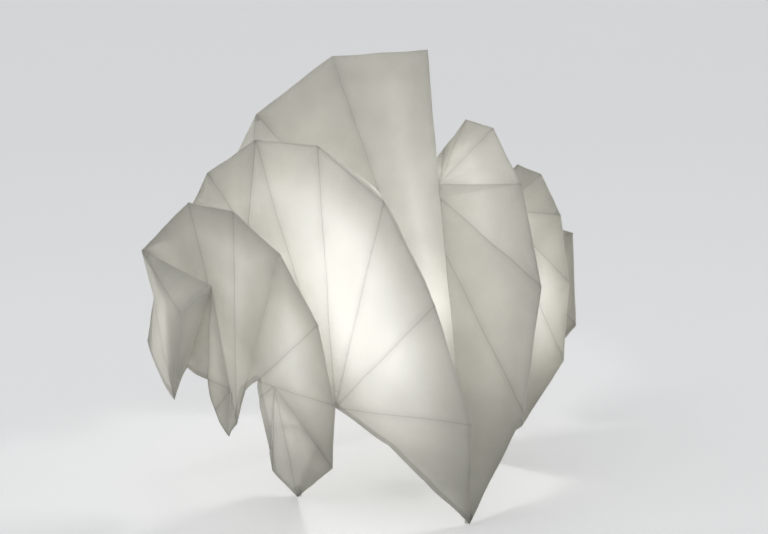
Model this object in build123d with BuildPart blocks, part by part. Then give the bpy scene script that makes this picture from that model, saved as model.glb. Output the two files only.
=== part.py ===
"""Pleated paper table lamp.

One long strip of stiff white paper is folded into seven deep pleats that fan out to
both sides of the lamp.  The lamp faces +X and is mirror-symmetric about the XZ plane.
Left is the -Y side and right is the +Y side, as seen by someone who faces the front.
The origin is on the table, in the middle of the lamp's length and width.

Each pleat is a ridge between two valleys.  The ridges lie in upright planes that toe
outwards towards the back, so a ridge is written as its side view, (x, z), and its
plane gives y.  The shade stands on three pointed tips: one in front, where the two
inner ridges meet, and one behind each outer ridge.  A wire frame inside holds the
tips, the valleys and a screw lampholder, and an LED bulb stands in the holder.
"""
from build123d import *

import os
from math import atan2, cos, degrees, radians, sin, sqrt

os.makedirs("parts", exist_ok=True)

# ---------------------------------------------------------------- driving sizes, mm
# folded paper
paper = 0.6                 # thickness
longest_step = 0.66         # from the middle of the paper to its skin, at a sharp fold
tip_lift = 0.5              # the paper tips end this far above the table
shade_front_x = 192.0       # foremost folds
shade_rear_x = -192.0       # rearmost fold
shade_side_y = 253.0        # outermost fold
crown_top = 479.0           # highest fold
front_tip_x = 145.0
rear_tip_x = -18.0
rear_tip_y = 117.0

# wire frame
wire = 3.0                  # diameter of ring, arms and legs
weld = 0.5                  # a welded wire end sinks this far into what it joins
ring_height = 127.0         # middle of the ring's wire, just above the side valleys' ends
ring_side_heading = 31.5    # degrees from +X: which way the ring's front side runs face
ring_side_corner_y = 124.0
ring_rear_corner = (-62.0, 104.0)
ring_bend = 12.0            # radius of the ring's corners
clip_wall = 1.2             # clips that tie the paper to the ring
clip_length = 8.0
clip_play = 0.15            # between clip and wire
paper_gap = 0.3             # between the paper and what it rests on
foot_radius = 2.6
foot_height = 3.0
foot_inset = 4.8            # from a paper tip to the middle of its foot
rear_foot_heading = 239.0   # degrees, from the right rear tip to its foot, seen from above
rear_leg_x = -19.0          # where a rear leg meets the ring
rear_arm_x = -38.0          # where a rear arm meets the ring

# fitter and lampholder, on the bulb's axis
bulb_x = 25.0
fitter_radius = 29.0
fitter_plate = 2.0
skirt_radius = 19.7         # the lampholder's threaded skirt, which the fitter goes round
skirt_wall = 2.8
skirt_above = 27.0          # skirt above the fitter's middle
skirt_below = 17.0
skirt_floor = 3.0
thread_play = 0.3           # radial, between skirt and what is screwed onto it
shade_ring_radius = 26.0
shade_ring_height = 5.0
shade_ring_grips = 12
holder_cap_height = 15.0
holder_cap_radius = 20.5
holder_cap_neck = 9.0
inlet_radius = 5.0          # threaded inlet nipple
inlet_bore = 3.5
inlet_length = 16.0
inlet_inside = 5.0          # of its length, inside the cap
lock_nut_across = 14.0
lock_nut_height = 3.5

# screw cap of the bulb, and the socket round it
cap_radius = 13.2
cap_height = 22.0
cap_wall = 0.5
cap_play = 0.4              # radial, between the bulb's cap and the socket's screw shell
shell_wall = 0.5
shell_height = 21.0
insert_height = 6.0
contact_radius = 4.6
contact_height = 1.2
insulator_height = 3.2
insulator_top_radius = 11.0
strip_width = 7.0
strip_length = 15.0
strip_thickness = 0.6
strip_rise = 3.0
contact_gap = 0.3           # between the socket's contact strip and the bulb

# bulb above its cap
neck_radius = 14.2
neck_height = 8.0
body_height = 38.0          # neck and shoulder included
shoulder_height = 6.0       # straight rim under the globe
globe_radius = 30.0
globe_wall = 1.2
board_thickness = 1.6
board_radius = 21.0
chip_count = 9
chip_size = 3.0
chip_height = 0.8
chip_circle = 14.0

# ---------------------------------------------------------------- ridges
# A ridge's plane is y = half_gap - toe * x + lean * z: toe opens the ridges towards the
# back, lean opens them towards the top.  Its folds are written in side view, (x, z),
# counted along the ridge from its low front end.
crown_plane = {"half_gap": 48.2, "toe": 0.38, "lean": 0.0}
crown_ridge = {
    "crown_1": (-32.0, crown_top),
    "crown_2": (-133.0, 408.0),
    "crown_3": (shade_rear_x + 11.0, 328.0),
}
inner_plane = {"half_gap": 113.1, "toe": 0.289, "lean": 0.0104}
inner_ridge = {
    "inner_2": (shade_front_x - 18.0, 256.0),
    "inner_3": (110.0, 350.0),
    "inner_4": (23.0, 396.0),
    "inner_5": (-65.0, 392.0),
    "inner_6": (-139.0, 347.0),
    "inner_7": (shade_rear_x + 14.0, 290.0),
}
outer_plane = {"half_gap": 155.0, "toe": 0.25, "lean": 0.1246}
outer_ridge = {
    "outer_1": (114.0, 148.0),
    "outer_2": (104.0, 233.0),
    "outer_3": (62.0, 298.0),
    "outer_4": (0.0, 332.0),
    "outer_5": (-68.0, 333.0),
    "outer_6": (-162.0, 264.0),
}


def between(a, b, share):
    """Point on the fold from a to b."""
    return tuple(p + share * (q - p) for p, q in zip(a, b))


# ---------------------------------------------------------------- folds of one side
# Points are written for the right side (+Y); the left side is their mirror image.
fold = {
    # ends of the crown: the middle pleat, a long front triangle under a roof
    "crown_foot": (125.0, 0.0, 110.0),
    "crown_4": (shade_rear_x, 112.0, 222.0),
    "crown_5": (shade_rear_x + 22.0, 84.0, 128.0),
    "crown_tail": (shade_rear_x + 34.0, 0.0, 96.0),
    # ends of the inner ridge, from the front tip to the back
    "front_tip": (front_tip_x, 0.0, tip_lift),
    "inner_1": (shade_front_x, 33.0, 131.0),
    "inner_8": (shade_rear_x + 2.0, 166.0, 210.0),
    "inner_9": (shade_rear_x + 24.0, 150.0, 124.0),
    # low end of the outer ridge, from the rear tip
    "rear_tip": (rear_tip_x, rear_tip_y, tip_lift),
    "outer_0": (70.0, 123.0, 64.0),
    # end pleat
    "end_1": (17.0, shade_side_y - 22.0, 263.0),
    "end_2": (37.0, shade_side_y - 30.0, 158.0),
    "end_tip": (-14.0, shade_side_y - 53.0, 87.0),
    "end_hem_1": (-31.0, shade_side_y - 46.0, 113.0),
    "end_hem_2": (-39.0, shade_side_y - 41.0, 146.0),
    "end_hem_3": (-65.0, shade_side_y - 30.0, 155.0),
    "flap_1": (-15.0, shade_side_y, 232.0),
    "flap_tip": (-59.0, shade_side_y - 11.0, 123.0),
    "flap_2": (-121.0, shade_side_y - 19.0, 220.0),
    "flap_tail": (shade_rear_x + 15.0, shade_side_y - 34.0, 155.0),
    # valley between crown and inner pleat, behind the crown's edge
    "valley_a1": (-42.0, 64.0, 337.0),
    "valley_a2": (-118.0, 122.0, 288.0),
    "valley_a3": (-146.0, 124.0, 208.0),
    "valley_a4": (-132.0, 112.0, 130.0),
    # valley between inner and outer pleat
    "valley_b1": (56.0, 111.0, 124.0),
    "valley_b2": (-25.0, 155.0, 292.0),
    "valley_b3": (-75.0, 142.0, 288.0),
    "valley_b4": (-128.0, 172.0, 206.0),
    "valley_b5": (-118.0, 168.0, 138.0),
    # lower hem of the inner pleat's outer face
    "hem_b": (98.0, 69.0, 88.0),
    # valley and lower hem between outer and end pleat
    "valley_c1": (10.0, 177.0, 152.0),
    "valley_c2": (-14.0, 182.0, 134.0),
    "valley_c3": (-32.0, 182.0, 93.0),
    "valley_c4": (-51.0, 200.0, 232.0),
    "hem_c1": (-37.0, 137.0, 29.0),
    "hem_c2": (-25.0, 146.0, 58.0),
    "hem_c3": (7.0, 174.0, 132.0),
}
for plane, ridge in ((crown_plane, crown_ridge), (inner_plane, inner_ridge), (outer_plane, outer_ridge)):
    for name, (x, z) in ridge.items():
        fold[name] = (x, plane["half_gap"] - plane["toe"] * x + plane["lean"] * z, z)
# folds that end part of the way along another fold
fold["edge_1"] = between(fold["crown_foot"], fold["crown_1"], 0.441)
fold["edge_2"] = between(fold["crown_foot"], fold["crown_1"], 0.593)
fold["edge_3"] = between(fold["crown_foot"], fold["crown_1"], 0.627)
fold["crease_b"] = between(fold["valley_b1"], fold["inner_1"], 0.27)
fold["crease_c"] = between(fold["outer_1"], fold["valley_c1"], 0.78)

on_mirror_plane = {"crown_foot", "crown_tail", "front_tip"}

# ---------------------------------------------------------------- facets
# Each facet is a polygon of fold names, all wound the same way round the outside.
# A name with "~" is that point on the other side of the lamp.
crown_front = [
    ("crown_foot", "edge_1", "~edge_1"),
    ("edge_1", "edge_2", "~edge_2", "~edge_1"),
    ("edge_2", "edge_3", "~edge_3", "~edge_2"),
    ("edge_3", "crown_1", "~crown_1", "~edge_3"),
]
crown_back = [
    ("crown_1", "crown_2", "~crown_2", "~crown_1"),
    ("crown_2", "crown_3", "~crown_3", "~crown_2"),
    ("crown_3", "crown_4", "~crown_4", "~crown_3"),
    ("crown_4", "crown_5", "~crown_5", "~crown_4"),
    ("crown_5", "crown_tail", "~crown_5"),
]
crown_side = [
    ("crown_1", "edge_3", "valley_a1", "crown_2"),
    ("crown_2", "valley_a1", "valley_a2"),
    ("crown_2", "valley_a2", "crown_3"),
    ("crown_3", "valley_a2", "valley_a3"),
    ("crown_3", "valley_a3", "crown_4"),
    ("crown_4", "valley_a3", "valley_a4"),
    ("crown_4", "valley_a4", "crown_5"),
]
# inner pleat, its faces towards the crown and towards the outer pleat
inner_inside = [
    ("crown_foot", "front_tip", "edge_1"),
    ("front_tip", "inner_1", "edge_1"),
    ("edge_1", "inner_1", "inner_2", "edge_2"),
    ("edge_2", "inner_2", "inner_3", "edge_3"),
    ("edge_3", "inner_3", "inner_4"),
    ("edge_3", "inner_4", "inner_5"),
    ("edge_3", "inner_5", "inner_6"),
    ("edge_3", "inner_6", "valley_a1"),
    ("valley_a1", "inner_6", "valley_a2"),
    ("inner_6", "inner_7", "valley_a2"),
    ("valley_a2", "inner_7", "valley_a3"),
    ("inner_7", "inner_8", "valley_a3"),
    ("valley_a3", "inner_8", "valley_a4"),
    ("inner_8", "inner_9", "valley_a4"),
]
inner_outside = [
    ("front_tip", "hem_b", "crease_b", "inner_1"),
    ("hem_b", "valley_b1", "crease_b"),
    ("inner_1", "crease_b", "inner_2"),
    ("crease_b", "valley_b1", "inner_2"),
    ("inner_2", "valley_b1", "inner_3"),
    ("inner_3", "valley_b1", "inner_4"),
    ("inner_4", "valley_b1", "inner_5"),
    ("inner_5", "valley_b1", "valley_b3"),
    ("inner_5", "valley_b3", "inner_6"),
    ("inner_6", "valley_b3", "inner_7"),
    ("inner_7", "valley_b3", "valley_b4"),
    ("inner_7", "valley_b4", "inner_8"),
    ("inner_8", "valley_b4", "valley_b5"),
    ("inner_8", "valley_b5", "inner_9"),
]
# outer pleat, its faces towards the inner pleat and towards the end pleat
outer_inside = [
    ("valley_b1", "valley_b2", "valley_b3"),
    ("valley_b1", "rear_tip", "outer_0"),
    ("valley_b1", "outer_0", "valley_b2"),
    ("outer_0", "outer_1", "valley_b2"),
    ("outer_1", "outer_2", "valley_b2"),
    ("outer_2", "outer_3", "valley_b2"),
    ("outer_3", "outer_4", "valley_b2"),
    ("outer_4", "outer_5", "valley_b2"),
    ("outer_5", "outer_6", "valley_b2"),
    ("outer_6", "valley_b3", "valley_b2"),
    ("outer_6", "valley_b4", "valley_b3"),
]
outer_outside = [
    ("outer_1", "crease_c", "outer_2"),
    ("crease_c", "valley_c1", "outer_2"),
    ("outer_2", "valley_c1", "valley_c2", "outer_3"),
    ("outer_3", "valley_c2", "valley_c3", "outer_4"),
    ("outer_4", "valley_c3", "valley_c4", "outer_5"),
    ("outer_5", "valley_c4", "outer_6"),
    # leg that runs down to the rear tip
    ("outer_0", "crease_c", "outer_1"),
    ("rear_tip", "crease_c", "outer_0"),
    ("rear_tip", "hem_c1", "crease_c"),
    ("hem_c1", "hem_c2", "crease_c"),
    ("hem_c2", "hem_c3", "crease_c"),
    ("hem_c3", "valley_c1", "crease_c"),
]
# end pleat, a narrow pleat and the flap that hangs behind it
end_narrow = [
    # face towards the outer pleat
    ("valley_c4", "end_1", "outer_6"),
    ("valley_c4", "end_2", "end_1"),
    ("valley_c4", "valley_c3", "end_2"),
    ("valley_c3", "end_tip", "end_2"),
    # short outer face
    ("end_1", "end_2", "end_hem_2"),
    ("end_2", "end_tip", "end_hem_1"),
    ("end_2", "end_hem_1", "end_hem_2"),
    ("end_1", "end_hem_2", "end_hem_3"),
]
end_flap = [
    # outer face
    ("end_1", "end_hem_3", "flap_tip"),
    ("end_1", "flap_tip", "flap_1"),
    ("outer_6", "end_1", "flap_1"),
    ("outer_6", "flap_1", "flap_2"),
    ("flap_1", "flap_tip", "flap_2"),
    ("flap_2", "flap_tip", "flap_tail"),
    # rear face
    ("outer_6", "flap_2", "valley_b4"),
    ("flap_2", "flap_tail", "valley_b5"),
    ("flap_2", "valley_b5", "valley_b4"),
]


# ---------------------------------------------------------------- folded paper
def other_side(name):
    """The same fold point on the other side of the lamp."""
    plain = name.lstrip("~")
    if plain in on_mirror_plane:
        return plain
    return plain if name.startswith("~") else "~" + plain


def mirrored(facets):
    """Facets of the other side, from the same first corner and wound to face outwards."""
    turned = [(facet[0],) + tuple(reversed(facet[1:])) for facet in facets]
    return [tuple(other_side(name) for name in facet) for facet in turned]


def place(name):
    """Where a fold point is."""
    x, y, z = fold[name.lstrip("~")]
    return Vector(x, -y if name.startswith("~") else y, z)


def triangles(facets):
    """Each facet cut into triangles from its first corner."""
    cut = []
    for facet in facets:
        for k in range(1, len(facet) - 1):
            cut.append((facet[0], facet[k], facet[k + 1]))
    return cut


sides = {
    "crown_side": crown_side,
    "inner_pleat_inside": inner_inside,
    "inner_pleat_outside": inner_outside,
    "outer_pleat_inside": outer_inside,
    "outer_pleat_outside": outer_outside,
    "end_pleat": end_narrow,
    "end_flap": end_flap,
}
right_facets = [facet for facets in sides.values() for facet in facets]
whole_sheet = crown_front + crown_back + right_facets + mirrored(right_facets)


def unit_normal(facet):
    """Outward unit normal of a facet."""
    corners = [place(name) for name in facet]
    turns = [a.cross(b) for a, b in zip(corners, corners[1:] + corners[:1])]
    return sum(turns, Vector(0, 0, 0)).normalized()


def thickening(name):
    """Step from the middle of the paper to its skin at a fold point.

    The step moves every facet that meets at the point by half the paper's thickness,
    as nearly as one step can, and is kept short where the paper is folded sharply.
    """
    normals = [unit_normal(facet) for facet in whole_sheet if name in facet]
    half = paper / 2
    step = Vector(0, 0, 0)
    for _ in range(80):
        misses = [normal * (half - step.dot(normal)) for normal in normals]
        step = step + sum(misses, Vector(0, 0, 0)) * (1 / len(normals))
    if step.length > longest_step:
        step = step * (longest_step / step.length)
    return step


skin_step = {name: thickening(name) for name in {n for facet in whole_sheet for n in facet}}


def folded_sheet(facets):
    """Closed solid of one stretch of the folded paper."""
    sheet = triangles(facets)
    top = {n: place(n) + skin_step[n] for t in sheet for n in t}
    under = {n: place(n) - skin_step[n] for t in sheet for n in t}
    skins = [[top[n] for n in t] for t in sheet]
    skins += [[under[n] for n in reversed(t)] for t in sheet]
    directed = [(t[k], t[(k + 1) % 3]) for t in sheet for k in range(3)]
    rim = [(a, b) for a, b in directed if (b, a) not in directed]
    for a, b in rim:
        # neighbours cut the strip between them along the same diagonal
        if a.lstrip("~") < b.lstrip("~"):
            skins += [[under[a], under[b], top[b]], [under[a], top[b], top[a]]]
        else:
            skins += [[under[a], under[b], top[a]], [under[b], top[b], top[a]]]
    faces = [Face(Wire.make_polygon(corners)) for corners in skins]
    return Solid(Shell(faces))


shade = {"crown_front": crown_front, "crown_back": crown_back}
for face_name, facets in sides.items():
    shade[f"{face_name}_right"] = facets
    shade[f"{face_name}_left"] = mirrored(facets)
for face_name, facets in shade.items():
    with BuildPart() as face:
        add(folded_sheet(facets))
    face.part.label = face_name
    export_step(face.part, f"parts/{face_name}.step")


# ---------------------------------------------------------------- ring
# The ring is bent from one wire.  Its front run passes behind the two folds that rise
# from the front tip, and its side runs pass behind the ends of the side valleys.
clip_radius = wire / 2 + clip_play + clip_wall
reach = clip_radius + paper_gap + longest_step


def fold_at(low, high, height):
    """Point of a fold at some height."""
    rise = (height - fold[low][2]) / (fold[high][2] - fold[low][2])
    return Vector(*between(fold[low], fold[high], rise))


def run_offset(low, high, outward):
    """Level distance of the ring's wire from a leaning fold that its clip touches."""
    along = Vector(*fold[high]) - Vector(*fold[low])
    lean = along.dot(outward) / along.Z
    return reach * sqrt(1 + lean**2)


forward = Vector(1, 0, 0)
side_outward = Vector(cos(radians(ring_side_heading)), sin(radians(ring_side_heading)), 0)
front_seat = fold_at("front_tip", "edge_1", ring_height)
side_seat = fold_at("valley_b1", "valley_b3", ring_height)
front_clip = front_seat - forward * run_offset("front_tip", "edge_1", forward)
side_clip = side_seat - side_outward * run_offset("valley_b1", "valley_b3", side_outward)


def side_run_at_x(x):
    """Point of the right front side run."""
    y = side_clip.Y + (side_clip.X - x) * side_outward.X / side_outward.Y
    return Vector(x, y, ring_height)


def side_run_at_y(y):
    """Point of the right front side run."""
    x = side_clip.X + (side_clip.Y - y) * side_outward.Y / side_outward.X
    return Vector(x, y, ring_height)


def to_left(point):
    """The same point on the left side of the lamp."""
    return Vector(point.X, -point.Y, point.Z)


front_corner = side_run_at_x(front_clip.X)
side_corner = side_run_at_y(ring_side_corner_y)
rear_corner = Vector(*ring_rear_corner, ring_height)
front_middle = Vector(front_corner.X, 0, ring_height)
rear_middle = Vector(rear_corner.X, 0, ring_height)

with BuildPart() as ring:
    with BuildLine() as ring_path:
        FilletPolyline(front_middle, front_corner, side_corner, rear_corner, rear_middle, radius=ring_bend)
    with BuildSketch(Plane(origin=front_middle, z_dir=(0, 1, 0))):
        Circle(wire / 2)
    sweep(path=ring_path.line)
    mirror(about=Plane.XZ)
ring.part.label = "ring"
export_step(ring.part, "parts/ring.step")


side_run = (side_corner - front_corner).normalized()
clips = {
    "front_right": (front_clip, Vector(0, 1, 0)),
    "front_left": (to_left(front_clip), Vector(0, 1, 0)),
    "side_right": (side_clip, side_run),
    "side_left": (to_left(side_clip), to_left(side_run)),
}
for side, (middle, direction) in clips.items():
    with BuildPart() as clip:
        with BuildSketch(Plane(origin=middle - direction * (clip_length / 2), z_dir=direction)):
            Circle(clip_radius)
            Circle(wire / 2 + clip_play, mode=Mode.SUBTRACT)
        extrude(amount=clip_length)
    clip.part.label = f"ring_clip_{side}"
    export_step(clip.part, f"parts/ring_clip_{side}.step")


def along_rear_run(x):
    """Point of the right rear side run."""
    slope = (side_corner.Y - rear_corner.Y) / (side_corner.X - rear_corner.X)
    return Vector(x, rear_corner.Y + slope * (x - rear_corner.X), ring_height)


# ---------------------------------------------------------------- legs and feet
inset = Vector(cos(radians(rear_foot_heading)), sin(radians(rear_foot_heading)), 0) * foot_inset
rear_foot = Vector(rear_tip_x, rear_tip_y, 0) + inset
rear_leg_top = along_rear_run(rear_leg_x)
legs = {
    "front": (Vector(front_tip_x - foot_inset, 0, 0), front_middle),
    "right": (rear_foot, rear_leg_top),
    "left": (to_left(rear_foot), to_left(rear_leg_top)),
}
for side, (foot_middle, joint) in legs.items():
    with BuildPart() as foot:
        with BuildSketch(Plane(origin=foot_middle)):
            Circle(foot_radius)
        extrude(amount=foot_height)
        chamfer(foot.edges().group_by(Axis.Z)[-1], foot_radius / 4)
    foot.part.label = f"foot_{side}"
    export_step(foot.part, f"parts/foot_{side}.step")

    foot_top = foot_middle + Vector(0, 0, foot_height)
    upward = (joint - foot_top).normalized()
    leg_end = joint - upward * (wire / 2 - weld)
    with BuildPart() as leg:
        with BuildSketch(Plane(origin=foot_top - upward * wire, z_dir=upward)):
            Circle(wire / 2)
        extrude(amount=(leg_end - foot_top).length + wire)
        split(bisect_by=Plane.XY.offset(foot_height), keep=Keep.TOP)
    leg.part.label = f"leg_{side}"
    export_step(leg.part, f"parts/leg_{side}.step")


# ---------------------------------------------------------------- fitter
# A stamped ring takes the lampholder.  Three arms join it to the wire ring, at the same height.
bulb_axis = Axis((bulb_x, 0, 0), (0, 0, 1))
fitter_top = ring_height + fitter_plate / 2
fitter_under = ring_height - fitter_plate / 2

with BuildPart() as fitter_ring:
    with BuildSketch(Plane(origin=(bulb_x, 0, fitter_under))):
        Circle(fitter_radius)
        Circle(skirt_radius + thread_play, mode=Mode.SUBTRACT)
    extrude(amount=fitter_plate)
fitter_ring.part.label = "fitter_ring"
export_step(fitter_ring.part, "parts/fitter_ring.step")


fitter_middle = Vector(bulb_x, 0, ring_height)
rear_arm_joint = along_rear_run(rear_arm_x)
arm_joints = {"front": front_middle, "right": rear_arm_joint, "left": to_left(rear_arm_joint)}
for side, joint in arm_joints.items():
    heading = (joint - fitter_middle).normalized()
    arm_start = fitter_middle + heading * (fitter_radius - weld)
    arm_end = joint - heading * (wire / 2 - weld)
    with BuildPart() as arm:
        with BuildSketch(Plane(origin=arm_start, z_dir=heading)):
            Circle(wire / 2)
        extrude(amount=(arm_end - arm_start).length)
    arm.part.label = f"arm_{side}"
    export_step(arm.part, f"parts/arm_{side}.step")

# ---------------------------------------------------------------- lampholder
skirt_top = ring_height + skirt_above
skirt_bottom = ring_height - skirt_below
skirt_inside = skirt_radius - skirt_wall
insert_top = skirt_bottom + skirt_floor + insert_height


def ring_profile(inner, outer, low, high):
    """Rectangle of a turned ring, drawn beside the bulb's axis."""
    with Locations((bulb_x + inner, low)):
        Rectangle(outer - inner, high - low, align=(Align.MIN, Align.MIN))


with BuildPart() as holder_skirt:
    with BuildSketch(Plane.XZ):
        ring_profile(skirt_inside, skirt_radius, skirt_bottom, skirt_top)
        ring_profile(inlet_radius, skirt_radius, skirt_bottom, skirt_bottom + skirt_floor)
    revolve(axis=bulb_axis)
    chamfer(holder_skirt.edges().group_by(Axis.Z)[-1], skirt_wall / 4)
holder_skirt.part.label = "holder_skirt"
export_step(holder_skirt.part, "parts/holder_skirt.step")

with BuildPart() as holder_insert:
    with BuildSketch(Plane(origin=(bulb_x, 0, skirt_bottom + skirt_floor))):
        Circle(skirt_inside)
    extrude(amount=insert_height)
holder_insert.part.label = "holder_insert"
export_step(holder_insert.part, "parts/holder_insert.step")

with BuildPart() as screw_shell:
    with BuildSketch(Plane(origin=(bulb_x, 0, insert_top))):
        Circle(cap_radius + cap_play + shell_wall)
        Circle(cap_radius + cap_play, mode=Mode.SUBTRACT)
    extrude(amount=shell_height)
screw_shell.part.label = "screw_shell"
export_step(screw_shell.part, "parts/screw_shell.step")

# a bent spring strip: one end lies on the insert, the other rises to the bulb's contact
strip_path = [
    (-strip_length / 2, 0),
    (-strip_length / 4, 0),
    (0, strip_rise - strip_thickness),
    (strip_length / 4, strip_rise - strip_thickness),
    (strip_length / 4, strip_rise),
    (-strip_thickness / 4, strip_rise),
    (-strip_length / 4 - strip_thickness / 4, strip_thickness),
    (-strip_length / 2, strip_thickness),
]
with BuildPart() as contact_strip:
    with BuildSketch(Plane(origin=(bulb_x, strip_width / 2, insert_top), x_dir=(1, 0, 0), z_dir=(0, -1, 0))):
        with BuildLine():
            Polyline(*strip_path, close=True)
        make_face()
    extrude(amount=strip_width)
contact_strip.part.label = "contact_strip"
export_step(contact_strip.part, "parts/contact_strip.step")

for name, low in (("lower", fitter_under - shade_ring_height), ("upper", fitter_top)):
    with BuildPart() as shade_ring:
        with BuildSketch(Plane(origin=(bulb_x, 0, low))):
            Circle(shade_ring_radius)
            with PolarLocations(shade_ring_radius, shade_ring_grips):
                Circle(shade_ring_height / 4, mode=Mode.SUBTRACT)
            Circle(skirt_radius + thread_play, mode=Mode.SUBTRACT)
        extrude(amount=shade_ring_height)
    shade_ring.part.label = f"shade_ring_{name}"
    export_step(shade_ring.part, f"parts/shade_ring_{name}.step")

cap_under = skirt_bottom - holder_cap_height
with BuildPart() as holder_cap:
    with BuildSketch(Plane.XZ):
        with BuildLine():
            lip = Line((bulb_x + inlet_radius, skirt_bottom), (bulb_x + holder_cap_radius, skirt_bottom))
            rim = Line(lip @ 1, (bulb_x + holder_cap_radius, skirt_bottom - holder_cap_height / 3))
            neck = (bulb_x + holder_cap_neck, cap_under)
            Polyline(rim @ 1, neck, (bulb_x + inlet_radius, cap_under), lip @ 0)
        make_face()
    revolve(axis=bulb_axis)
holder_cap.part.label = "holder_cap"
export_step(holder_cap.part, "parts/holder_cap.step")

inlet_top = cap_under + inlet_inside
inlet_bottom = inlet_top - inlet_length
with BuildPart() as cord_inlet:
    with BuildSketch(Plane(origin=(bulb_x, 0, inlet_bottom))):
        Circle(inlet_radius)
        Circle(inlet_bore, mode=Mode.SUBTRACT)
    extrude(amount=inlet_length)
cord_inlet.part.label = "cord_inlet"
export_step(cord_inlet.part, "parts/cord_inlet.step")

with BuildPart() as lock_nut:
    with BuildSketch(Plane(origin=(bulb_x, 0, cap_under - lock_nut_height))):
        RegularPolygon(lock_nut_across / 2, 6, major_radius=False)
        Circle(inlet_radius, mode=Mode.SUBTRACT)
    extrude(amount=lock_nut_height)
lock_nut.part.label = "lock_nut"
export_step(lock_nut.part, "parts/lock_nut.step")

# ---------------------------------------------------------------- bulb
bulb_foot = insert_top + strip_rise + contact_gap
insulator_foot = bulb_foot + contact_height
cap_foot = insulator_foot + insulator_height
cap_end = cap_foot + cap_height
body_end = cap_end + body_height
globe_middle = body_end + globe_radius / 8
globe_mouth = sqrt(globe_radius**2 - (globe_middle - body_end) ** 2)

with BuildPart() as bulb_contact:
    with BuildSketch(Plane(origin=(bulb_x, 0, bulb_foot))):
        Circle(contact_radius)
    extrude(amount=contact_height)
    chamfer(bulb_contact.edges().group_by(Axis.Z)[0], contact_height / 2)
bulb_contact.part.label = "bulb_contact"
export_step(bulb_contact.part, "parts/bulb_contact.step")

with BuildPart() as bulb_insulator:
    with BuildSketch(Plane(origin=(bulb_x, 0, insulator_foot))):
        Circle(contact_radius)
    with BuildSketch(Plane(origin=(bulb_x, 0, cap_foot))):
        Circle(insulator_top_radius)
    loft(ruled=True)
bulb_insulator.part.label = "bulb_insulator"
export_step(bulb_insulator.part, "parts/bulb_insulator.step")

with BuildPart() as bulb_cap:
    with BuildSketch(Plane.XZ):
        ring_profile(0, cap_radius, cap_foot, cap_foot + cap_wall)
        ring_profile(cap_radius - cap_wall, cap_radius, cap_foot, cap_end)
    revolve(axis=bulb_axis)
    chamfer(bulb_cap.edges().group_by(Axis.Z)[0], cap_wall / 2)
bulb_cap.part.label = "bulb_cap"
export_step(bulb_cap.part, "parts/bulb_cap.step")

board_top = body_end
board_under = board_top - board_thickness
with BuildPart() as bulb_body:
    with BuildSketch(Plane.XZ):
        with BuildLine():
            base = Line((bulb_x, cap_end), (bulb_x + neck_radius, cap_end))
            neck_side = Line(base @ 1, (bulb_x + neck_radius, cap_end + neck_height))
            shoulder = Line(neck_side @ 1, (bulb_x + globe_mouth, body_end - shoulder_height))
            Polyline(shoulder @ 1, (bulb_x + globe_mouth, body_end), (bulb_x + board_radius, body_end),
                     (bulb_x + board_radius, board_under), (bulb_x, board_under), base @ 0)
        make_face()
    revolve(axis=bulb_axis)
bulb_body.part.label = "bulb_body"
export_step(bulb_body.part, "parts/bulb_body.step")

with BuildPart() as led_board:
    with BuildSketch(Plane(origin=(bulb_x, 0, board_under))):
        Circle(board_radius)
    extrude(amount=board_thickness)
led_board.part.label = "led_board"
export_step(led_board.part, "parts/led_board.step")

with BuildPart() as led_chips:
    with BuildSketch(Plane(origin=(bulb_x, 0, board_top))):
        with PolarLocations(chip_circle, chip_count):
            Rectangle(chip_size, chip_size)
    extrude(amount=chip_height)
led_chips.part.label = "led_chips"
export_step(led_chips.part, "parts/led_chips.step")

mouth_angle = -degrees(atan2(globe_middle - body_end, globe_mouth))
with BuildPart() as bulb_globe:
    with BuildSketch(Plane.XZ):
        with BuildLine():
            middle = (bulb_x, globe_middle)
            outer = CenterArc(middle, globe_radius, mouth_angle, 90 - mouth_angle)
            inner = CenterArc(middle, globe_radius - globe_wall, mouth_angle, 90 - mouth_angle)
            Line(outer @ 0, inner @ 0)
            Line(outer @ 1, inner @ 1)
        make_face()
    revolve(axis=bulb_axis)
bulb_globe.part.label = "bulb_globe"
export_step(bulb_globe.part, "parts/bulb_globe.step")
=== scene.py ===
"""Pleated paper table lamp: finishes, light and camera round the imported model.

The lamp stands on a pale floor, lit softly from outside and by its own bulb from
inside, so that the folded paper glows as it does in use.  The paper also shines by
itself a little, where the bulb's light would spread inside it.
"""
import math

import bmesh
import bpy
import numpy as np
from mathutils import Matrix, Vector
from mathutils.kdtree import KDTree


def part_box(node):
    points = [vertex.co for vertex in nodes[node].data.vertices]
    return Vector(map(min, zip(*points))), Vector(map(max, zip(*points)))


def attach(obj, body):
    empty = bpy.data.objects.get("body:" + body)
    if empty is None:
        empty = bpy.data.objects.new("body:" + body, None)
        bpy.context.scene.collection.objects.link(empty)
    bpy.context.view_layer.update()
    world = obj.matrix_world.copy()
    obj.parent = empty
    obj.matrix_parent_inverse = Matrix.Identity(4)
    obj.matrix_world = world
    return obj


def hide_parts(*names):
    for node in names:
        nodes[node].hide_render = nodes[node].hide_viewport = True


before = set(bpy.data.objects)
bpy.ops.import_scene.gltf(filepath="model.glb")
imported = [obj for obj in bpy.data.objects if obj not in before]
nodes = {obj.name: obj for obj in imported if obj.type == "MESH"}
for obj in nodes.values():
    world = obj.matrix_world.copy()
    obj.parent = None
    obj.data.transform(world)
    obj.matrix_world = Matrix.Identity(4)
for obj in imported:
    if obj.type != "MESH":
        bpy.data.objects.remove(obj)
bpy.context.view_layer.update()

# ---------------------------------------------------------------- values
# camera: where it stands, in metres, and how it is turned, in degrees
CAMERA_PLACE = (1.4314, -0.9127, 0.6657)
CAMERA_YAW = 57.92
CAMERA_PITCH = 13.78
CAMERA_LENS_MM = 75.0
SENSOR_MM = 36.0

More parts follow.
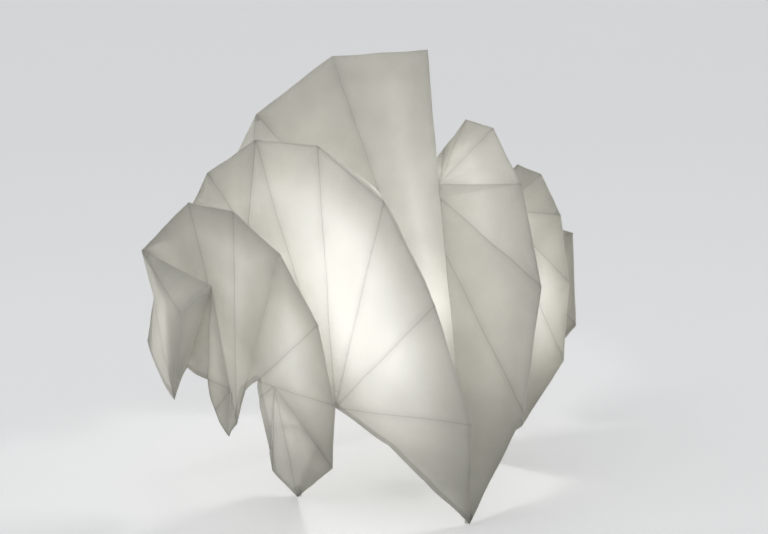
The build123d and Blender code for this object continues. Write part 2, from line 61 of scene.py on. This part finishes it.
# light
WORLD_STRENGTH = 0.5
WORLD_COLOUR = (0.97, 0.985, 1.0)
BACKGROUND_COLOUR = (0.74, 0.745, 0.75)
FLOOR_COLOUR = (0.80, 0.80, 0.80)
FLOOR_LIFT = (0.26, 0.262, 0.265)   # added where the camera sees the floor
FLOOR_SIZE = 80.0
LIGHT_AIM = (0.0, 0.0, 0.24)
KEY_PLACE = (0.3, -1.3, 1.9)
KEY_SIZE = 1.6
KEY_POWER = 6.0
FILL_PLACE = (1.2, 1.6, 1.3)
FILL_SIZE = 1.8
FILL_POWER = 3.0
BULB_COLOUR = (1.0, 0.99, 0.965)
BULB_LOOK = 3.0             # how bright the globe itself looks
BULB_POWER = 9.5            # what it throws on the paper
BULB_LIGHT_RADIUS = 0.036
BULB_LIGHT_RISE = 0.75      # the light's middle, as a share of the globe's height
BULB_LIGHT_SMOOTH = 0.03    # square of the distance below which the bulb's light stays even

# paper
PAPER_COLOUR = (0.68, 0.672, 0.63)
PAPER_THROUGH_COLOUR = (0.90, 0.895, 0.87)
PAPER_TRANSLUCENCY = 0.74
GLOW_COLOUR = (1.0, 1.0, 0.985)
GLOW_DEEP_COLOUR = (1.0, 0.975, 0.86)
GLOW_STRENGTH = 0.29
GLOW_REACH = 0.22           # the paper's own glow halves at this distance from the bulb
GLOW_FALL = 4               # power of the distance with which the glow fades beyond it
GLOW_SLANT = 0.6            # power with which the glow fades where the bulb's light grazes
GLOW_LOW = 0.03             # the paper's tips stay dark below this height
GLOW_HIGH = 0.23            # full glow from this height on
GLOW_AT_TIPS = 0.02
GLOW_AT_RIDGES = 0.22
RIDGE_SHADE = 0.060         # the glow fades towards a sharp fold from this distance
MESH_STEP = 0.008           # longest edge of the paper's mesh
LONG_SHARE = 0.6            # edges longer than this share of the longest are split together
WEDGE_PASSES = 2
SMOOTH_ANGLE = math.radians(1.2)    # edges bent more than this are drawn sharp
JOIN_DISTANCE = 1e-6        # corners this near each other are one
WAVE_HEIGHT = 0.0011        # how far the paper waves
WAVE_LENGTH = 0.085
WAVE_SHARES = (1.0, 1.7, 2.9)   # each finer wave's share of the first one's frequency
WAVE_PHASES = np.array([(0.0, 1.3, 2.1), (2.6, 0.4, 4.0), (5.1, 3.3, 0.9)])
CROSS_WAVE = 0.8            # frequency of the waves across, as a share of those along
BOW_HEIGHT = 0.0028         # how far a facet bulges outwards between its folds
BOW_REACH = 0.014           # distance from a fold in which most of the bulge is reached
STILL_DISTANCE = 0.012      # no waves this near the wire frame
FULL_DISTANCE = 0.05        # full waves from this distance on
HEM_WIDTH = 0.0065
HEM_BLUR = 0.0004
LINE_START = 0.0001         # a fold's dark line of painted shade fades from here
LINE_END = 0.0010           # to here
FOLD_SHADE = 0.008          # reach of the faint shade beside a fold
RIDGE_LINE = 0.0012         # width of the painted highlight along a sharp ridge
THIN_EDGE = 0.002           # longer than the paper's thickness, shorter than any fold
ON_FOLD = 0.00005           # a corner this near a fold lies on it
OFF_FOLD = 0.0004           # a middle this far from every fold lies on a facet
FLAT_ANGLE = math.radians(0.4)
SHARP_FOLD = math.radians(45.0)
CUT_MATCH = 0.002           # an edge whose middle is this near a listed one is that cut
# middles of the cuts that divide a four-cornered facet into triangles, on the right side
FACET_CUT_MIDDLES = np.array([
    (0.1149, 0.0460, 0.2644),
    (0.0710, 0.0604, 0.3394),
    (0.0450, 0.1701, 0.1835),
    (0.0150, 0.1793, 0.1955),
])

# other surfaces
GRAIN_SCALE = 400.0         # features per metre
GRAIN_SPREAD = 0.025        # how much the grain changes colour and gloss
GRAIN_DEPTH = 0.00005


# ---------------------------------------------------------------- shader helpers
class Shader:
    """A material's node tree, with short calls that add and link nodes."""

    def __init__(self, name):
        self.material = bpy.data.materials.new(name)
        self.material.use_nodes = True
        self.tree = self.material.node_tree
        self.tree.nodes.clear()
        self.output = self.tree.nodes.new("ShaderNodeOutputMaterial")

    def node(self, kind, inputs=None, **settings):
        """A new node with its settings and its inputs' values or links."""
        made = self.tree.nodes.new(kind)
        for key, value in settings.items():
            setattr(made, key, value)
        for key, value in (inputs or {}).items():
            self.give(made.inputs[key], value)
        return made

    def give(self, socket, value):
        """Links an output to a socket, or sets the socket's own value."""
        if isinstance(value, bpy.types.NodeSocket):
            self.tree.links.new(value, socket)
        elif hasattr(socket.default_value, "__len__") and len(value) == 3 and len(socket.default_value) == 4:
            socket.default_value = (*value, 1.0)
        else:
            socket.default_value = value

    def place(self):
        """Object coordinates, in metres."""
        return self.node("ShaderNodeTexCoord").outputs["Object"]

    def attribute(self, name):
        """A number stored on the mesh."""
        return self.node("ShaderNodeAttribute", attribute_name=name).outputs["Fac"]

    def noise(self, scale, detail, roughness):
        """Noise factor with a scale in features per metre."""
        made = self.node("ShaderNodeTexNoise", {"Scale": scale, "Detail": detail, "Roughness": roughness})
        self.tree.links.new(self.place(), made.inputs["Vector"])
        return made.outputs["Fac"]

    def ramp(self, factor, low, high, from_value=0.0, to_value=1.0):
        """Maps factor from the range low..high to another range, clamped."""
        inputs = {"Value": factor, "From Min": low, "From Max": high,
                  "To Min": from_value, "To Max": to_value}
        return self.node("ShaderNodeMapRange", inputs).outputs["Result"]

    def math(self, operation, a, b):
        """Sum, product or the like of two numbers."""
        return self.node("ShaderNodeMath", {0: a, 1: b}, operation=operation).outputs[0]

    def blend(self, factor, colour_a, colour_b):
        """Mix of two colours."""
        made = self.node("ShaderNodeMix", data_type="RGBA")
        self.give(made.inputs["Factor"], factor)
        self.give(made.inputs[6], colour_a)
        self.give(made.inputs[7], colour_b)
        return made.outputs[2]

    def shade(self, colour, factor):
        """A colour times a number."""
        made = self.node("ShaderNodeVectorMath", operation="SCALE")
        self.give(made.inputs[0], colour)
        self.give(made.inputs["Scale"], factor)
        return made.outputs[0]

    def bump(self, height, distance, strength):
        """Normal from a height, with the distance in metres."""
        inputs = {"Height": height, "Distance": distance, "Strength": strength}
        return self.node("ShaderNodeBump", inputs).outputs["Normal"]

    def finish(self, surface):
        """Plugs the surface shader into the output."""
        self.tree.links.new(surface, self.output.inputs["Surface"])
        return self.material


def dress(material, *names):
    """Gives CAD nodes a material."""
    for name in names:
        slots = nodes[name].data.materials
        slots.clear()
        slots.append(material)


# ---------------------------------------------------------------- folded paper
paper_names = sorted(name for name in nodes if name.startswith(("crown_", "inner_", "outer_", "end_")))
wire_names = sorted(name for name in nodes if name.startswith(("ring", "leg_", "foot_")))


def is_rim(face):
    """Whether a face is part of the paper's cut edge."""
    return min(edge.calc_length() for edge in face.edges) < THIN_EDGE


def edge_key(edge):
    """Names an edge by its middle, to a hundredth of a millimetre."""
    middle = (edge.verts[0].co + edge.verts[1].co) / 2
    return tuple(round(c * 1e5) for c in middle)


def is_no_fold(edge):
    """Whether an edge between two skin triangles is flat, or a cut across one facet."""
    if edge.calc_face_angle() < FLAT_ANGLE:
        return True
    middle = (edge.verts[0].co + edge.verts[1].co) / 2
    misses = FACET_CUT_MIDDLES - np.array((middle.x, abs(middle.y), middle.z))
    return np.linalg.norm(misses, axis=1).min() < CUT_MATCH


def sheet_mesh(name):
    """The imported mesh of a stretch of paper, with its corners joined."""
    sheet = bmesh.new()
    sheet.from_mesh(nodes[name].data)
    bmesh.ops.remove_doubles(sheet, verts=sheet.verts, dist=JOIN_DISTANCE)
    return sheet


def skin_edges(name, sheet):
    """Folds inside a stretch, and the edges round it.  The crown's front is one flat facet."""
    inside, around = [], []
    for edge in sheet.edges:
        rims = [is_rim(face) for face in edge.link_faces]
        if rims == [False, False] and name != "crown_front" and not is_no_fold(edge):
            inside.append(edge)
        if sorted(rims) == [False, True]:
            around.append(edge)
    return inside, around


def ends(edge):
    """Both ends of an edge."""
    return [tuple(vert.co) for vert in edge.verts]


def skin_side(edge):
    """Middle and normal of the skin triangle beside an edge of a stretch."""
    face = next(face for face in edge.link_faces if not is_rim(face))
    return face.calc_center_median(), face.normal


def is_sharp_ridge(side_a, side_b):
    """Whether two skin triangles meet in a sharp fold that stands out."""
    (middle_a, normal_a), (middle_b, normal_b) = side_a, side_b
    return normal_a.angle(normal_b) > SHARP_FOLD and normal_a.dot(middle_b - middle_a) < 0


sheets = {name: sheet_mesh(name) for name in paper_names}
outlines = {}
folds, ridges, hems = [], [], []
for name, sheet in sheets.items():
    inside, around = skin_edges(name, sheet)
    for edge in inside:
        sharp = edge.calc_face_angle() > SHARP_FOLD and edge.is_convex
        (ridges if sharp else folds).append(ends(edge))
    for edge in around:
        outlines.setdefault(edge_key(edge), []).append((ends(edge), skin_side(edge)))
for shared in outlines.values():
    if len(shared) == 1:
        hems.append(shared[0][0])
    elif is_sharp_ridge(shared[0][1], shared[1][1]):
        ridges.append(shared[0][0])
    else:
        folds.append(shared[0][0])


def distance_to(segments, points):
    """Distance of each point to the nearest of some straight segments."""
    starts = np.array([s[0] for s in segments])
    runs = np.array([s[1] for s in segments]) - starts
    lengths = (runs**2).sum(1)
    nearest = np.full(len(points), 1e9)
    for start, run, length in zip(starts, runs, lengths):
        share = np.clip((points - start) @ run / length, 0.0, 1.0)
        gap = np.linalg.norm(points - start - share[:, None] * run, axis=1)
        nearest = np.minimum(nearest, gap)
    return nearest


def wave(points):
    """Gentle waves of the paper, as a smooth field of steps."""
    turns = 2 * math.pi / WAVE_LENGTH
    field = np.zeros_like(points)
    for k, share in enumerate(WAVE_SHARES):
        mixed = points[:, [(k + 1) % 3, (k + 2) % 3, k]]
        along = np.sin(points * turns * share + WAVE_PHASES[k])
        field += along * np.cos(mixed * turns * share * CROSS_WAVE) / share
    return field * WAVE_HEIGHT / 2


def smooth_step(value, low, high):
    """Smooth rise from 0 at low to 1 at high."""
    share = np.clip((value - low) / (high - low), 0.0, 1.0)
    return share * share * (3 - 2 * share)


def bulb_middle():
    """Middle of the bulb's globe."""
    low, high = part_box("bulb_globe")
    return np.array((low + high) / 2)


def glow(mesh, points, ridge_gap):
    """Painted glow: light of the bulb that would spread through the paper, for each corner of each face,
    darker towards the tips and the sharp ridges.
    """
    away = points - bulb_middle()
    gap = np.linalg.norm(away, axis=1)
    share = GLOW_AT_TIPS + (1 - GLOW_AT_TIPS) * smooth_step(points[:, 2], GLOW_LOW, GLOW_HIGH)
    share *= GLOW_AT_RIDGES + (1 - GLOW_AT_RIDGES) * smooth_step(ridge_gap, 0.0, RIDGE_SHADE)
    share /= 1 + (gap / GLOW_REACH) ** GLOW_FALL
    corner = np.array([loop.vertex_index for loop in mesh.loops])
    normals = [tuple(face.normal) for face in mesh.polygons]
    normal = np.repeat(normals, [face.loop_total for face in mesh.polygons], axis=0)
    facing = np.abs((away[corner] * normal).sum(1)) / gap[corner]
    return facing**GLOW_SLANT * share[corner]


def bow(mesh, points, gap):
    """Bulge of the facets away from the bulb, none at the folds."""
    middle = bulb_middle()
    outward = np.zeros_like(points)
    for face in mesh.polygons:
        normal = np.array(face.normal)
        if normal @ (np.array(face.center) - middle) < 0:
            normal = -normal
        outward[list(face.vertices)] += normal
    outward /= np.maximum(np.linalg.norm(outward, axis=1), 1e-6)[:, None]
    return outward * (BOW_HEIGHT * (1 - np.exp(-gap / BOW_REACH)))[:, None]


def split(sheet, chosen):
    """Splits edges at their middles and leaves only triangles."""
    bmesh.ops.subdivide_edges(sheet, edges=chosen, cuts=1)
    odd = [face for face in sheet.faces if len(face.verts) > 3]
    bmesh.ops.triangulate(sheet, faces=odd, quad_method="SHORT_EDGE")


def short_edges(sheet, step):
    """Splits edges at their middles until none is longer than a step."""
    while True:
        long_edges = [edge for edge in sheet.edges if edge.calc_length() > step]
        if not long_edges:
            return
        longest = max(edge.calc_length() for edge in long_edges)
        split(sheet, [edge for edge in long_edges if edge.calc_length() > longest * LONG_SHARE])


def open_wedges(sheet):
    """Splits edges that run from fold to fold, so that a triangle between folds isn't dark all over."""
    for _ in range(WEDGE_PASSES):
        sheet.verts.index_update()
        on_fold = distance_to(folds, np.array([tuple(v.co) for v in sheet.verts])) < ON_FOLD
        spans = [edge for edge in sheet.edges if all(on_fold[vert.index] for vert in edge.verts)]
        middles = distance_to(folds, np.array([tuple((e.verts[0].co + e.verts[1].co) / 2) for e in spans]))
        split(sheet, [edge for edge, gap in zip(spans, middles) if gap > OFF_FOLD])


wire_points = [v.co for name in wire_names for v in nodes[name].data.vertices]
wire_tree = KDTree(len(wire_points))
for k, point in enumerate(wire_points):
    wire_tree.insert(point, k)
wire_tree.balance()


def calmness(points):
    """0 near the wire frame, 1 away from it."""
    gaps = np.array([wire_tree.find(point)[2] for point in points])
    return smooth_step(gaps, STILL_DISTANCE, FULL_DISTANCE)


def paper_piece(name, material):
    """A finer stretch of paper that stands for its CAD node."""
    sheet = sheets[name]
    short_edges(sheet, MESH_STEP)
    open_wedges(sheet)
    mesh = bpy.data.meshes.new(f"{name}_paper")
    sheet.to_mesh(mesh)
    points = np.array([tuple(v.co) for v in mesh.vertices])
    fold_gap = distance_to(folds, points)
    mesh.attributes.new("fold_gap", "FLOAT", "POINT").data.foreach_set("value", fold_gap)
    mesh.attributes.new("hem_gap", "FLOAT", "POINT").data.foreach_set("value", distance_to(hems, points))
    ridge_gap = distance_to(ridges, points)
    mesh.attributes.new("ridge_gap", "FLOAT", "POINT").data.foreach_set("value", ridge_gap)
    mesh.attributes.new("glow", "FLOAT", "CORNER").data.foreach_set("value", glow(mesh, points, ridge_gap))
    waves = wave(points) + bow(mesh, points, np.minimum(fold_gap, ridge_gap))
    moved = points + waves * calmness(points)[:, None]
    mesh.vertices.foreach_set("co", moved.ravel())
    mesh.polygons.foreach_set("use_smooth", [True] * len(mesh.polygons))
    mesh.set_sharp_from_angle(angle=SMOOTH_ANGLE)
    mesh.update()
    mesh.materials.append(material)
    piece = bpy.data.objects.new(f"{name}_paper", mesh)
    bpy.context.scene.collection.objects.link(piece)
    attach(piece, "lamp")
    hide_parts(name)


# ---------------------------------------------------------------- materials
def paper_material():
    """Stiff translucent paper with soft clouds, fine fibre and a double hem, with painted shade along the
    folds, a painted highlight along the sharp ridges and a painted glow from the bulb.
    """
    s = Shader("folded_paper")
    cloud = s.ramp(s.noise(16.0, 5.0, 0.6), 0.3, 0.7, 0.95, 1.04)
    fibre = s.noise(1100.0, 3.0, 0.7)
    fleck = s.ramp(fibre, 0.3, 0.7, 0.97, 1.03)
    fold_gap = s.attribute("fold_gap")
    # painted shade: a dark line along each fold and a faint shade beside it
    line = s.ramp(fold_gap, LINE_START, LINE_END, 0.86, 1.0)
    soft = s.ramp(fold_gap, 0.0, FOLD_SHADE, 0.96, 1.0)
    # painted highlight: a lighter line along each sharp ridge
    ridge_highlight = s.ramp(s.attribute("ridge_gap"), 0.0, RIDGE_LINE, 1.12, 1.0)
    doubled = s.ramp(s.attribute("hem_gap"), HEM_WIDTH - HEM_BLUR, HEM_WIDTH + HEM_BLUR, 0.88, 1.0)
    dark = s.math("MULTIPLY", s.math("MULTIPLY", line, soft), s.math("MULTIPLY", ridge_highlight, doubled))
    tone = s.math("MULTIPLY", s.math("MULTIPLY", cloud, fleck), dark)
    normal = s.bump(fibre, 0.0001, 0.5)
    glow_share = s.attribute("glow")
    glow_tint = s.blend(s.ramp(glow_share, 0.05, 0.5), GLOW_DEEP_COLOUR, GLOW_COLOUR)
    glow_light = s.shade(glow_tint, s.math("MULTIPLY", glow_share, tone))
    front = s.node("ShaderNodeBsdfPrincipled", {"Base Color": s.shade(PAPER_COLOUR, tone), "Roughness": 0.75,
                                               "Normal": normal, "Specular IOR Level": 0.25,
                                               "Emission Color": glow_light,
                                               "Emission Strength": GLOW_STRENGTH / (1 - PAPER_TRANSLUCENCY)})
    through_colour = s.shade(PAPER_THROUGH_COLOUR, tone)
    through = s.node("ShaderNodeBsdfTranslucent", {"Color": through_colour, "Normal": normal})
    mix = s.node("ShaderNodeMixShader", {"Fac": PAPER_TRANSLUCENCY})
    s.tree.links.new(front.outputs[0], mix.inputs[1])
    s.tree.links.new(through.outputs[0], mix.inputs[2])
    return s.finish(mix.outputs[0])


def plain_material(name, colour, roughness, metallic=0.0):
    """A moulded or painted surface with faint grain in colour, gloss and height."""
    s = Shader(name)
    speck = s.noise(GRAIN_SCALE, 3.0, 0.6)
    darker = tuple(c * (1.0 - 2.0 * GRAIN_SPREAD) for c in colour)
    tone = s.blend(s.ramp(speck, 0.35, 0.65), colour, darker)
    gloss = s.ramp(speck, 0.3, 0.7, roughness - GRAIN_SPREAD, roughness + GRAIN_SPREAD)
    inputs = {"Base Color": tone, "Roughness": gloss, "Metallic": metallic,
              "Normal": s.bump(speck, GRAIN_DEPTH, 0.4)}
    return s.finish(s.node("ShaderNodeBsdfPrincipled", inputs).outputs[0])


def glow_material():
    """Frosted bulb globe that is switched on."""
    s = Shader("bulb_diffuser")
    frost = s.noise(600.0, 3.0, 0.6)
    inputs = {"Base Color": s.blend(frost, (0.9, 0.88, 0.84), (0.8, 0.78, 0.74)), "Roughness": 0.55,
              "Emission Color": BULB_COLOUR, "Emission Strength": BULB_LOOK,
              "Normal": s.bump(frost, GRAIN_DEPTH, 0.4)}
    return s.finish(s.node("ShaderNodeBsdfPrincipled", inputs).outputs[0])


paper = paper_material()
for name in paper_names:
    paper_piece(name, paper)
wires = [name for name in nodes if name.startswith(("arm_", "leg_"))] + ["ring", "fitter_ring"]
dress(plain_material("white_wire", (0.8, 0.8, 0.78), 0.4), *wires)
clips = [name for name in nodes if name.startswith(("ring_clip_", "foot_"))]
dress(plain_material("clip_plastic", (0.78, 0.78, 0.75), 0.5), *clips)
dress(plain_material("holder_plastic", (0.8, 0.79, 0.76), 0.35), "holder_skirt", "holder_cap",
      "shade_ring_lower", "shade_ring_upper")
dress(plain_material("porcelain", (0.85, 0.84, 0.8), 0.15), "holder_insert")
dress(plain_material("contact_brass", (0.78, 0.57, 0.25), 0.3, 1.0), "screw_shell", "contact_strip",
      "bulb_contact")
dress(plain_material("zinc_plate", (0.62, 0.62, 0.63), 0.35, 1.0), "cord_inlet", "lock_nut")
dress(plain_material("cap_aluminium", (0.8, 0.8, 0.81), 0.35, 1.0), "bulb_cap")
dress(plain_material("black_glass", (0.02, 0.02, 0.02), 0.15), "bulb_insulator")
dress(plain_material("bulb_plastic", (0.85, 0.85, 0.85), 0.3), "bulb_body")
dress(plain_material("board_white", (0.8, 0.8, 0.78), 0.5), "led_board")
dress(plain_material("phosphor", (0.85, 0.6, 0.12), 0.4), "led_chips")
dress(glow_material(), "bulb_globe")


# ---------------------------------------------------------------- floor, light, camera
def add_plane(name, size, place, colour):
    """A stage plane with a faint mottled finish."""
    bpy.ops.mesh.primitive_plane_add(size=size, location=place)
    plane = bpy.context.object
    plane.name = name
    s = Shader(name)
    cloud = s.noise(1.5, 3.0, 0.5)
    tone = s.blend(cloud, colour, tuple(c * 0.97 for c in colour))
    seen = s.node("ShaderNodeLightPath").outputs["Is Camera Ray"]
    s.finish(s.node("ShaderNodeBsdfPrincipled", {"Base Color": tone, "Roughness": 0.6,
                                                 "Emission Color": s.shade(FLOOR_LIFT, seen),
                                                 "Emission Strength": 1.0}).outputs[0])
    plane.data.materials.append(s.material)


add_plane("floor", FLOOR_SIZE, (0.0, 0.0, 0.0), FLOOR_COLOUR)


def link(thing):
    """Puts an object in the scene."""
    bpy.context.scene.collection.objects.link(thing)
    return thing


def add_softbox(name, place, aim, size, power):
    """A square area light that faces a point."""
    light = bpy.data.lights.new(name, "AREA")
    light.shape = "SQUARE"
    light.size = size
    light.energy = power
    lamp = link(bpy.data.objects.new(name, light))
    lamp.location = place
    lamp.rotation_euler = (Vector(aim) - Vector(place)).to_track_quat("-Z", "Y").to_euler()


def add_bulb_light():
    """Light of the bulb.  It fades with the distance, not with its square, and is evened out close by."""
    low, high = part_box("bulb_globe")
    light = bpy.data.lights.new("bulb_light", "POINT")
    light.energy = BULB_POWER
    light.color = BULB_COLOUR
    light.shadow_soft_size = BULB_LIGHT_RADIUS
    light.use_nodes = True
    tree = light.node_tree
    emission = next(n for n in tree.nodes if n.type == "EMISSION")
    falloff = tree.nodes.new("ShaderNodeLightFalloff")
    falloff.inputs["Strength"].default_value = 1.0
    falloff.inputs["Smooth"].default_value = BULB_LIGHT_SMOOTH
    tree.links.new(falloff.outputs["Linear"], emission.inputs["Strength"])
    lamp = link(bpy.data.objects.new("bulb_light", light))
    rise = low.z + BULB_LIGHT_RISE * (high.z - low.z)
    lamp.location = ((low.x + high.x) / 2, (low.y + high.y) / 2, rise)
    lamp.visible_camera = False


add_softbox("key", KEY_PLACE, LIGHT_AIM, KEY_SIZE, KEY_POWER)
add_softbox("fill", FILL_PLACE, LIGHT_AIM, FILL_SIZE, FILL_POWER)
add_bulb_light()

world = bpy.data.worlds.new("studio")
bpy.context.scene.world = world
world.use_nodes = True
tree = world.node_tree
tree.nodes.clear()
light_path = tree.nodes.new("ShaderNodeLightPath")
ambient = tree.nodes.new("ShaderNodeBackground")
ambient.inputs["Color"].default_value = (*WORLD_COLOUR, 1.0)
ambient.inputs["Strength"].default_value = WORLD_STRENGTH
seen = tree.nodes.new("ShaderNodeBackground")
seen.inputs["Color"].default_value = (*BACKGROUND_COLOUR, 1.0)
choose = tree.nodes.new("ShaderNodeMixShader")
tree.links.new(light_path.outputs["Is Camera Ray"], choose.inputs[0])
tree.links.new(ambient.outputs[0], choose.inputs[1])
tree.links.new(seen.outputs[0], choose.inputs[2])
world_output = tree.nodes.new("ShaderNodeOutputWorld")
tree.links.new(choose.outputs[0], world_output.inputs["Surface"])

camera_data = bpy.data.cameras.new("camera")
camera_data.sensor_width = SENSOR_MM
camera_data.lens = CAMERA_LENS_MM
camera = link(bpy.data.objects.new("camera", camera_data))
camera.location = CAMERA_PLACE
camera.rotation_euler = (math.radians(90.0 - CAMERA_PITCH), 0.0, math.radians(CAMERA_YAW))
bpy.context.scene.camera = camera
bpy.context.scene.view_settings.view_transform = "Standard"
